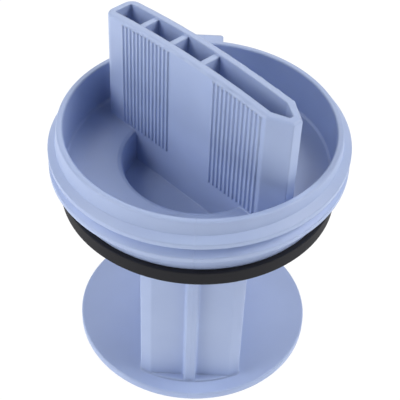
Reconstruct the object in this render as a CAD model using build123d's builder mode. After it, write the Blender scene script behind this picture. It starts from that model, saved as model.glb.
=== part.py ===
"""Drain pump cover of a washing machine: one moulded screw cover and its rubber sealing ring.

Millimetres, +Z up along the thread axis, origin at the centre of the disc's underside.
The stem's middle rib faces -Y and the nose of the grip points towards +X -Y.
"""
import os

from build123d import *

os.makedirs("parts", exist_ok=True)

# Driving dimensions: the screw thread, the ring and the bottom disc
thread_diameter = 70.0
thread_pitch = 4.0
thread_depth = 1.65
thread_rise = 7.8
thread_start_angle = 90.0
seal_diameter = 65.3
seal_height = 3.7
disc_diameter = 58.9
disc_thickness = 2.2
disc_edge = 0.25
wall = 2.0
overlap = 0.5

# Cup, well, neck and groove: the cup's floor carries the other heights
cup_floor_z = 53.7
cup_depth = 11.0
cup_draft = 0.2
floor_edge = 0.5
well_radius = 17.9
well_depth = 8.7
well_edge = 1.2
rim_edge = 0.25
rim_taper = 0.5
rim_taper_height = 4.1
collar_slope_height = 1.95
neck_height = 2.5
seal_drop = 4.6
seal_stand_out = 1.25
groove_depth = 1.9
lip_depth = 1.0
lip_height = 1.2
lip_slope_height = 1.0

# Heights above the disc's underside
rim_z = cup_floor_z + cup_depth
rim_shoulder_z = rim_z - rim_edge
collar_top_z = rim_shoulder_z - rim_taper_height
floor_under_z = cup_floor_z - wall
well_floor_z = cup_floor_z - well_depth
well_under_z = well_floor_z - wall
groove_top_z = cup_floor_z - seal_drop
collar_low_z = groove_top_z + neck_height
thread_start_z = collar_low_z + collar_slope_height
seal_z = groove_top_z - seal_height
lip_low_z = seal_z - lip_height
skirt_low_z = lip_low_z - lip_slope_height

# Radii: the cup follows the thread, the neck follows the ring
collar_radius = thread_diameter / 2 - thread_depth
rim_outer_radius = collar_radius - rim_taper
rim_inner_radius = collar_radius - wall
floor_corner_radius = rim_inner_radius - cup_draft
neck_radius = seal_diameter / 2 - seal_stand_out
groove_radius = neck_radius - groove_depth
lip_radius = groove_radius + lip_depth
skirt_inner_radius = groove_radius - wall
well_outer_radius = well_radius + wall

# Stem: an I-shaped column whose flanges face front and back
panel_width = 24.6
panel_face = 23.7
web_thickness = 2.9
rib_reach = 1.9
rib_radius = panel_face + rib_reach
foot_thickness = 0.5
foot_step = 0.15
foot_radius = rib_radius + foot_step
foot_corner = 1.2
stem_round = 0.5

# Hollow grip across the cup
grip_angle = -45.0
grip_rise = 19.1
grip_top_z = rim_z + grip_rise
grip_thickness = 8.7
grip_tail = -28.65
grip_bend = 23.3
grip_tip = 28.4
grip_tip_width = 2.6
grip_wall = 1.9
grip_corner = 2.6
grip_nose_round = 1.7
slot_round = 0.6
grip_edge = 0.7
crown_radius = 238.0
slot_rib_thickness = 1.5
slot_rib_first = 1.9
slot_rib_pitch = 9.9
slot_rib_count = 3
slot_rib_drop = 0.5

# Finger ridges in two panels on each face of the grip
ridge_pitch = 1.26
ridge_width = 0.8
ridge_drop = 0.9
ridge_rise = 0.8
ridge_tail_centre = -14.2
ridge_tail_count = 13
ridge_nose_centre = 14.8
ridge_nose_count = 12

# Stop lug at the back of the rim
lug_width = 9.5
lug_reach = 2.55
lug_height = 2.2
lug_corner = 0.8
lug_radius = rim_outer_radius + lug_reach

# The ring lies in its groove with this clearance all round
seal_clearance = 0.1
seal_edge = 0.15

grip_plane = Plane.XY.rotated((0, 0, grip_angle))
grip_side_plane = Plane.XZ.rotated((0, 0, grip_angle))


def grip_outline(inset):
    """Plan of the grip moved inwards by inset: square tail, straight sides and a blunt nose."""
    half = grip_thickness / 2 - inset
    tip_half = max((grip_tip_width - inset) / 2, overlap)
    bend = grip_bend - inset / 4
    tip = grip_tip - inset
    tail = grip_tail + inset
    with BuildLine() as line:
        Polyline(
            (tail, -half),
            (bend, -half),
            (tip, -tip_half),
            (tip, tip_half),
            (bend, half),
            (tail, half),
            close=True,
        )
    return line.line


def crown_block(drop):
    """Block around the grip whose top is the crown's arc, lowered by drop."""
    reach = grip_tip + overlap
    top = grip_top_z - drop
    side_z = top - reach**2 / (2 * crown_radius)
    with BuildPart() as block:
        with BuildSketch(grip_side_plane):
            with BuildLine():
                ThreePointArc((-reach, side_z), (0, top), (reach, side_z))
                Polyline((reach, side_z), (reach, 0), (-reach, 0), (-reach, side_z))
            make_face()
        extrude(amount=grip_thickness, both=True)
    return block.part


# Finger ridges on both faces of the grip, from above the cup's floor to below the crown
with BuildPart() as ridges:
    with BuildSketch(grip_plane.offset(cup_floor_z + ridge_rise)):
        for side in (-1, 1):
            with Locations((ridge_tail_centre, side * grip_thickness / 2)):
                with GridLocations(ridge_pitch, 1, ridge_tail_count, 1):
                    RegularPolygon(ridge_width / 2, 6)
            with Locations((ridge_nose_centre, side * grip_thickness / 2)):
                with GridLocations(ridge_pitch, 1, ridge_nose_count, 1):
                    RegularPolygon(ridge_width / 2, 6)
    extrude(amount=grip_top_z - cup_floor_z)
    add(crown_block(ridge_drop), mode=Mode.INTERSECT)

# Cross ribs that stiffen the slot, a little below the crowned edge
with BuildPart() as slot_ribs:
    with BuildSketch(grip_plane.offset(well_under_z)):
        for index in range(slot_rib_count):
            with Locations((slot_rib_first - slot_rib_pitch * index, 0)):
                Rectangle(slot_rib_thickness, grip_thickness)
    extrude(amount=grip_top_z - well_under_z)
    add(crown_block(slot_rib_drop), mode=Mode.INTERSECT)

# The slot: down to the cup's floor, and deeper where the grip crosses the well
with BuildPart() as slot:
    with BuildSketch(grip_plane.offset(cup_floor_z)) as slot_plan:
        add(grip_outline(grip_wall))
        make_face()
        fillet(slot_plan.vertices(), slot_round)
    extrude(amount=grip_top_z - cup_floor_z)
    with BuildSketch(grip_plane.offset(well_floor_z)):
        Rectangle(2 * (well_radius - wall), grip_thickness - 2 * grip_wall)
    extrude(amount=cup_floor_z - well_floor_z + overlap)
    add(slot_ribs.part, mode=Mode.SUBTRACT)

# The hollow grip: crowned bar with a rounded edge, opened by the slot and ridged on its faces
with BuildPart() as grip:
    with BuildSketch(grip_plane.offset(floor_under_z)) as grip_plan:
        add(grip_outline(0))
        make_face()
        grip_corners = grip_plan.vertices().sort_by(Axis.X)
        fillet(grip_corners[:2], grip_corner)
        fillet(grip_corners[2:], grip_nose_round)
    extrude(amount=grip_top_z - floor_under_z)
    add(crown_block(0), mode=Mode.INTERSECT)
    crown_edges = faces().sort_by(Axis.Z)[-1].edges()
    fillet(crown_edges, grip_edge)
    with BuildSketch(grip_plane.offset(well_under_z)):
        Rectangle(2 * well_outer_radius - overlap, grip_thickness)
    extrude(amount=cup_floor_z - well_under_z)
    add(slot.part, mode=Mode.SUBTRACT)
    add(ridges.part)

# The screw thread: a ridge with a steep upper and a long lower flank, swept along its helix.
# The sketch is drawn looking along the helix, with its +Y pointing down.
with BuildPart() as thread:
    crest_half = 0.14 * thread_pitch
    root_low = 0.33 * thread_pitch
    root_high = 0.6 * thread_pitch
    root_inset = 2 * overlap
    with BuildLine() as thread_path:
        Helix(pitch=thread_pitch, height=thread_rise, radius=collar_radius)
    start_plane = Plane(
        origin=thread_path.line @ 0,
        x_dir=(1, 0, 0),
        z_dir=thread_path.line % 0,
    )
    with BuildSketch(start_plane):
        with BuildLine():
            Polyline(
                (-root_inset, -root_low),
                (thread_depth, -crest_half),
                (thread_depth, crest_half / 2),
                (0.8 * thread_depth, crest_half),
                (-root_inset, root_high),
                close=True,
            )
        make_face()
    sweep(path=thread_path.line, is_frenet=True)

# The cover: cup, neck, well, stem, disc and lug in one moulding with the grip and the thread
with BuildPart() as cover_body:
    with BuildSketch(Plane.XZ):
        with BuildLine():
            Polyline(
                (0, well_under_z),
                (well_outer_radius, well_under_z),
                (well_outer_radius, floor_under_z),
                (skirt_inner_radius, floor_under_z),
                (skirt_inner_radius, skirt_low_z),
                (groove_radius, skirt_low_z),
                (lip_radius, lip_low_z),
                (lip_radius, seal_z),
                (groove_radius, seal_z),
                (groove_radius, groove_top_z),
                (neck_radius, groove_top_z),
                (neck_radius, collar_low_z),
                (collar_radius, thread_start_z),
                (collar_radius, collar_top_z),
                (rim_outer_radius, rim_shoulder_z),
                (rim_outer_radius - rim_edge, rim_z),
                (rim_inner_radius + rim_edge, rim_z),
                (rim_inner_radius, rim_shoulder_z),
                (floor_corner_radius, cup_floor_z + floor_edge),
                (floor_corner_radius - floor_edge, cup_floor_z),
                (well_radius + well_edge, cup_floor_z),
                (well_radius + 0.3 * well_edge, cup_floor_z - 0.3 * well_edge),
                (well_radius, cup_floor_z - well_edge),
                (well_radius, well_floor_z),
                (0, well_floor_z),
                close=True,
            )
        make_face()
    revolve(axis=Axis.Z)

    with BuildSketch(Plane.XY):
        Circle(disc_diameter / 2)
    extrude(amount=disc_thickness)
    disc_edges = edges().filter_by(GeomType.CIRCLE).group_by(Axis.Z)
    chamfer(disc_edges[0] + disc_edges[1], disc_edge)
    with BuildSketch(Plane.XY.offset(disc_thickness - overlap)) as foot:
        Circle(foot_radius)
        Rectangle(panel_width + 2 * foot_step, 2 * foot_radius, mode=Mode.INTERSECT)
        fillet(foot.vertices(), foot_corner)
    extrude(amount=foot_thickness + overlap)
    with BuildSketch(Plane.XY.offset(disc_thickness)):
        Rectangle(web_thickness, 2 * panel_face - wall)
    extrude(amount=well_under_z + overlap - disc_thickness)
    with BuildSketch(Plane.XY.offset(disc_thickness)) as flanges:
        for side in (-1, 1):
            with Locations((0, side * (panel_face - wall / 2))):
                Rectangle(panel_width, wall)
            with Locations((0, side * (well_outer_radius - overlap + rib_radius) / 2)):
                Rectangle(web_thickness, rib_radius - well_outer_radius + overlap)
        Circle(rib_radius, mode=Mode.INTERSECT)
        outer_corners = [v for v in flanges.vertices() if abs(v.Y) > panel_face - 0.9 * wall]
        fillet(outer_corners, stem_round)
    extrude(amount=floor_under_z + overlap - disc_thickness)

    add(grip.part)
    with Locations(Location((0, 0, thread_start_z), (0, 0, thread_start_angle))):
        add(thread.part)
    with BuildSketch(Plane.XY.offset(rim_shoulder_z - lug_height)) as lug:
        with Locations((0, (rim_outer_radius - overlap + lug_radius) / 2)):
            Rectangle(lug_width, lug_radius - rim_outer_radius + overlap)
        fillet(lug.vertices().sort_by(Axis.Y)[-2:], lug_corner)
    extrude(amount=lug_height)

cover_body.part.label = "cover_body"
export_step(cover_body.part, "parts/cover_body.step")

# The rubber sealing ring in the groove of the neck
with BuildPart() as sealing_ring:
    with BuildSketch(Plane.XZ) as ring_section:
        ring_inner = groove_radius + seal_clearance
        ring_outer = seal_diameter / 2
        with Locations(((ring_inner + ring_outer) / 2, seal_z + seal_height / 2)):
            Rectangle(ring_outer - ring_inner, seal_height - 2 * seal_clearance)
        chamfer(ring_section.vertices(), seal_edge)
    revolve(axis=Axis.Z)

sealing_ring.part.label = "sealing_ring"
export_step(sealing_ring.part, "parts/sealing_ring.step")
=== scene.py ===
"""Looks of a washing machine drain pump cover: a moulded screw cover and its sealing ring."""
import math

import bpy
import numpy as np
from mathutils import Matrix, Vector


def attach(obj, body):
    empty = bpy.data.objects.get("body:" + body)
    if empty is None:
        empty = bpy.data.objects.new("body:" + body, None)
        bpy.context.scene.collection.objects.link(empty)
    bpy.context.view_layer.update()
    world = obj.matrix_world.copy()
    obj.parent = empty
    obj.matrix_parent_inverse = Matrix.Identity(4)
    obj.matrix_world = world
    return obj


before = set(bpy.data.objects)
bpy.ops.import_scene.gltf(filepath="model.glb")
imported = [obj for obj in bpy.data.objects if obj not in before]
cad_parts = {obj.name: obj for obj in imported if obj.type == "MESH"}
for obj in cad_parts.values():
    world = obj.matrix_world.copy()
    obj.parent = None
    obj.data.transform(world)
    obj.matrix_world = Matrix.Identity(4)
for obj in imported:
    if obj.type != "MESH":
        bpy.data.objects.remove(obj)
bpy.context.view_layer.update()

# The screw cover is one injection moulding of polypropylene in a pale violet blue.
# The mould was spark eroded, so the skin is satin with a fine grain, and its two halves
# met along a seam that runs up the front and the back of the neck and the thread.


def linear(hex_colour):
    """sRGB hex to linear RGBA: each byte over 255, then the sRGB curve undone."""
    channels = [int(hex_colour[i:i + 2], 16) / 255 for i in (1, 3, 5)]
    return (*[c / 12.92 if c <= 0.04045 else ((c + 0.055) / 1.055) ** 2.4 for c in channels], 1.0)


def add_node(tree, kind, settings=None, inputs=None, links=None):
    """A new node of a kind, with its settings, its input values and links from other sockets."""
    node = tree.nodes.new(kind)
    for name, value in (settings or {}).items():
        setattr(node, name, value)
    for name, value in (inputs or {}).items():
        node.inputs[name].default_value = value
    for name, socket in (links or {}).items():
        tree.links.new(socket, node.inputs[name])
    return node


MM = 0.001
skin_grain = 0.35 * MM      # erosion grain, drawn coarser than the real 0.1 mm so that it shows
grain_height = 0.02 * MM
flow_cloud = 14.0 * MM      # slow clouding where the melt flowed together
edge_round = 0.5 * MM       # every edge of the mould is a little rounded
seam_width = 0.22 * MM      # witness line of the two mould halves
seam_height = 0.08 * MM
seam_reach = 25.0 * MM      # the seam shows further out than this: rim, thread, neck, disc edge
light_depth = 1.2 * MM      # how far light spreads in the slightly milky plastic

polypropylene = bpy.data.materials.new("polypropylene_moulded_satin")
polypropylene.use_nodes = True
tree = polypropylene.node_tree
shader = tree.nodes["Principled BSDF"]
shader.inputs["IOR"].default_value = 1.49
shader.inputs["Subsurface Weight"].default_value = 0.05
shader.inputs["Subsurface Radius"].default_value = (1.0, 1.0, 1.1)
shader.inputs["Subsurface Scale"].default_value = light_depth
place = add_node(tree, "ShaderNodeTexCoord")
cloud = add_node(tree, "ShaderNodeTexNoise", {}, {"Scale": 1 / flow_cloud, "Detail": 3.0},
                 {"Vector": place.outputs["Object"]})
tint = add_node(tree, "ShaderNodeValToRGB", {}, {}, {"Fac": cloud.outputs["Fac"]})
tint.color_ramp.elements[0].position = 0.3
tint.color_ramp.elements[0].color = linear("#A5B5DA")
tint.color_ramp.elements[1].position = 0.7
tint.color_ramp.elements[1].color = linear("#ABBBDE")
tree.links.new(tint.outputs["Color"], shader.inputs["Base Color"])
polish = add_node(tree, "ShaderNodeMapRange", {}, {"To Min": 0.38, "To Max": 0.48},
                  {"Value": cloud.outputs["Fac"]})
tree.links.new(polish.outputs["Result"], shader.inputs["Roughness"])
grain = add_node(tree, "ShaderNodeTexNoise", {}, {"Scale": 1 / skin_grain, "Detail": 2.0},
                 {"Vector": place.outputs["Object"]})
axes = add_node(tree, "ShaderNodeSeparateXYZ", {}, {}, {"Vector": place.outputs["Object"]})
across = add_node(tree, "ShaderNodeMath", {"operation": "ABSOLUTE"}, {}, {0: axes.outputs["X"]})
ahead = add_node(tree, "ShaderNodeMath", {"operation": "ABSOLUTE"}, {}, {0: axes.outputs["Y"]})
seam = add_node(tree, "ShaderNodeMapRange", {"interpolation_type": "SMOOTHSTEP"},
                {"From Min": 0.0, "From Max": seam_width, "To Min": 1.0, "To Max": 0.0},
                {"Value": across.outputs[0]})
outside = add_node(tree, "ShaderNodeMath", {"operation": "GREATER_THAN"}, {1: seam_reach},
                   {0: ahead.outputs[0]})
seam_line = add_node(tree, "ShaderNodeMath", {"operation": "MULTIPLY"}, {},
                     {0: seam.outputs["Result"], 1: outside.outputs[0]})
soft_edge = add_node(tree, "ShaderNodeBevel", {"samples": 8}, {"Radius": edge_round})
grain_bump = add_node(tree, "ShaderNodeBump", {}, {"Strength": 0.12, "Distance": grain_height},
                      {"Height": grain.outputs["Fac"], "Normal": soft_edge.outputs["Normal"]})
seam_bump = add_node(tree, "ShaderNodeBump", {}, {"Strength": 0.6, "Distance": seam_height},
                     {"Height": seam_line.outputs[0], "Normal": grain_bump.outputs["Normal"]})
tree.links.new(seam_bump.outputs["Normal"], shader.inputs["Normal"])

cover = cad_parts["cover_body"]
cover.data.materials.clear()
cover.data.materials.append(polypropylene)

# The screw thread is part of the same moulding: one right-hand ridge of almost two turns, with
# a sharp overhanging lower edge and a long upper flank. The solid carries that ridge with its
# long flank below, so the ridge is drawn here the right way up, over the solid one.
collar_radius = 33.35 * MM
thread_pitch = 4.0 * MM
thread_start = 53.55 * MM   # height of the ridge's middle where it starts
start_turn = 0.25           # of a turn from +X, which is the back
thread_turns = 1.95
ridge_out = 1.67 * MM       # from the collar to the crest
ridge_half = 0.57 * MM      # half the height of the crest
ridge_root = -0.6 * MM      # both flanks end inside the collar's wall,
foot_low = -1.2 * MM        # the steep lower one at this height from the ridge's middle
foot_high = 2.08 * MM       # and the long upper one at this height
ridge_steps = 240
crease_angle = math.radians(30)

# The ridge is its four-cornered profile carried along a helix: each corner stands at the collar's
# radius plus its way out, and rises by one pitch with each turn.
out = np.array([ridge_root, ridge_out, ridge_out, ridge_root])
up = np.array([foot_low, -ridge_half, ridge_half, foot_high])
turn = np.linspace(0, thread_turns, ridge_steps + 1)[:, None]
angle = math.tau * (start_turn + turn)
radius = collar_radius + out
ridge_points = np.stack([radius * np.cos(angle), radius * np.sin(angle),
                         thread_start + turn * thread_pitch + up], axis=-1)
here = np.arange((ridge_steps + 1) * len(out)).reshape(ridge_steps + 1, len(out))
above = np.roll(here, -1, axis=1)
ridge_sides = np.stack([here[:-1], here[1:], above[1:], above[:-1]], axis=-1).reshape(-1, 4)
ridge_faces = np.vstack([ridge_sides, here[0], here[-1, ::-1]])

thread_mesh = bpy.data.meshes.new("screw_thread")
thread_mesh.from_pydata(ridge_points.reshape(-1, 3).tolist(), [], ridge_faces.tolist())
thread_mesh.shade_smooth()
thread_mesh.set_sharp_from_angle(angle=crease_angle)
thread = bpy.data.objects.new("screw_thread", thread_mesh)
bpy.context.scene.collection.objects.link(thread)
thread.data.materials.append(polypropylene)
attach(thread, "root")

# The sealing ring is a flat ring of black nitrile rubber, stretched into the groove of the neck.
# It is compression moulded in a blasted mould, so it is matt and reflects only a broad grey glow.
rubber_grain = 0.5 * MM     # fine pitted skin of the rubber
pit_depth = 0.03 * MM

nitrile = bpy.data.materials.new("nitrile_rubber_moulded_matt")
nitrile.use_nodes = True
tree = nitrile.node_tree
shader = tree.nodes["Principled BSDF"]
shader.inputs["IOR"].default_value = 1.52
shader.inputs["Specular IOR Level"].default_value = 0.18  # the pits swallow most of the shine
place = add_node(tree, "ShaderNodeTexCoord")
pits = add_node(tree, "ShaderNodeTexNoise", {}, {"Scale": 1 / rubber_grain, "Detail": 3.0},
                {"Vector": place.outputs["Object"]})
soot = add_node(tree, "ShaderNodeValToRGB", {}, {}, {"Fac": pits.outputs["Fac"]})
soot.color_ramp.elements[0].color = linear("#17171B")
soot.color_ramp.elements[1].color = linear("#222227")
tree.links.new(soot.outputs["Color"], shader.inputs["Base Color"])
matt = add_node(tree, "ShaderNodeMapRange", {}, {"To Min": 0.55, "To Max": 0.72},
                {"Value": pits.outputs["Fac"]})
tree.links.new(matt.outputs["Result"], shader.inputs["Roughness"])
pit_bump = add_node(tree, "ShaderNodeBump", {}, {"Strength": 0.2, "Distance": pit_depth},
                    {"Height": pits.outputs["Fac"]})
tree.links.new(pit_bump.outputs["Normal"], shader.inputs["Normal"])

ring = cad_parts["sealing_ring"]
ring.data.materials.clear()
ring.data.materials.append(nitrile)

# The table is a plain sheet of white paper on a light table, so it glows a little and lights the
# undersides of rim, thread and grip. Seen straight on it is white, and it takes a soft shadow.
floor_half = 3.0            # m
paper_glow = 0.6            # the light table's share, where 1 is white
white_share = 0.9           # the rest of what the camera sees keeps the shadow


def seen_directly(tree):
    """A socket that is 1 for a ray that looks at a surface straight, in glass or in a gloss."""
    ray = add_node(tree, "ShaderNodeLightPath")
    straight = add_node(tree, "ShaderNodeMath", {"operation": "ADD"}, {},
                        {0: ray.outputs["Is Camera Ray"], 1: ray.outputs["Is Transmission Ray"]})
    direct = add_node(tree, "ShaderNodeMath", {"operation": "ADD", "use_clamp": True}, {},
                      {0: straight.outputs[0], 1: ray.outputs["Is Glossy Ray"]})
    return direct.outputs[0]


floor_mesh = bpy.data.meshes.new("white_paper")
floor_mesh.from_pydata(
    [(-floor_half, -floor_half, 0), (floor_half, -floor_half, 0), (floor_half, floor_half, 0),
     (-floor_half, floor_half, 0)], [], [(0, 1, 2, 3)])
floor = bpy.data.objects.new("white_paper", floor_mesh)
bpy.context.scene.collection.objects.link(floor)
paper = bpy.data.materials.new("white_paper_matt")
paper.use_nodes = True
tree = paper.node_tree
shader = tree.nodes["Principled BSDF"]
shader.inputs["Base Color"].default_value = linear("#EDEDED")
shader.inputs["Roughness"].default_value = 0.9
shader.inputs["Specular IOR Level"].default_value = 0.0
shader.inputs["Emission Color"].default_value = linear("#FFFFFF")
shader.inputs["Emission Strength"].default_value = paper_glow
glow = add_node(tree, "ShaderNodeEmission", {}, {"Strength": 1.0})
seen = add_node(tree, "ShaderNodeMath", {"operation": "MULTIPLY"}, {1: white_share},
                {0: seen_directly(tree)})
mix = add_node(tree, "ShaderNodeMixShader", {}, {},
               {0: seen.outputs[0], 1: shader.outputs["BSDF"], 2: glow.outputs["Emission"]})
tree.links.new(mix.outputs["Shader"], tree.nodes["Material Output"].inputs["Surface"])
floor.data.materials.append(paper)

# The light: a soft box at the left and at the right of the camera, two high ones at the sides
# that leave the grooves of the thread in shade, and a weak one behind that draws the rim.
# The room round them is almost dark. It is white only where it is seen straight on and in the
# gloss of the cover and the ring, which is a painted reflection of a white room that sheds no
# such light.
room_glow = 0.03            # the room's own light, where 1 is white
lamp_aim = (0, 0, 0.05)     # m, the neck just above the sealing ring
lamp_width = 0.35           # m

world = bpy.data.worlds.new("white_room")
bpy.context.scene.world = world
world.use_nodes = True
tree = world.node_tree
room = tree.nodes["Background"]
room.inputs["Color"].default_value = linear("#FFFFFF")
# painted reflection: seen straight on or in a gloss the room is white, while the light it sheds
# stays at room_glow
level = add_node(tree, "ShaderNodeMapRange", {}, {"To Min": room_glow, "To Max": 1.0},
                 {"Value": seen_directly(tree)})
tree.links.new(level.outputs["Result"], room.inputs["Strength"])


def soft_box(name, where, power):
    """A square area lamp at a place in metres, turned to the aim, with its power in watts."""
    data = bpy.data.lights.new(name, "AREA")
    data.size = lamp_width
    data.energy = power
    lamp = bpy.data.objects.new(name, data)
    bpy.context.scene.collection.objects.link(lamp)
    lamp.location = where
    lamp.rotation_euler = (Vector(lamp_aim) - Vector(where)).to_track_quat("-Z", "Y").to_euler()


soft_box("soft_box_left", (-0.55, -0.25, 0.30), 1.95)
soft_box("soft_box_right", (0.55, -0.25, 0.30), 0.7)
soft_box("soft_box_left_high", (-0.42, 0.0, 0.50), 1.1)
soft_box("soft_box_right_high", (0.42, 0.0, 0.50), 2.2)
soft_box("soft_box_back", (0.0, 0.50, 0.45), 0.7)

# The camera stands in front and above, as for the catalogue picture: a long lens
# on a 36 mm wide square sensor, turned a little about its own axis.
camera_place = Vector((0.69, -194.24, 221.86)) * MM
camera_aim = Vector((0.69, -0.05, 40.52)) * MM
camera_roll = math.radians(2.56)
lens_mm = 98.24
sensor_mm = 36.0

camera_data = bpy.data.cameras.new("catalogue_camera")
camera_data.sensor_width = sensor_mm
camera_data.lens = lens_mm
camera_data.clip_start = 0.01
camera_data.clip_end = 20.0
camera = bpy.data.objects.new("catalogue_camera", camera_data)
bpy.context.scene.collection.objects.link(camera)
facing = (camera_aim - camera_place).to_track_quat("-Z", "Y").to_matrix().to_4x4()
roll = Matrix.Rotation(camera_roll, 4, "Z")
camera.matrix_world = Matrix.Translation(camera_place) @ facing @ roll
bpy.context.scene.camera = camera
bpy.context.scene.view_settings.view_transform = "Standard"
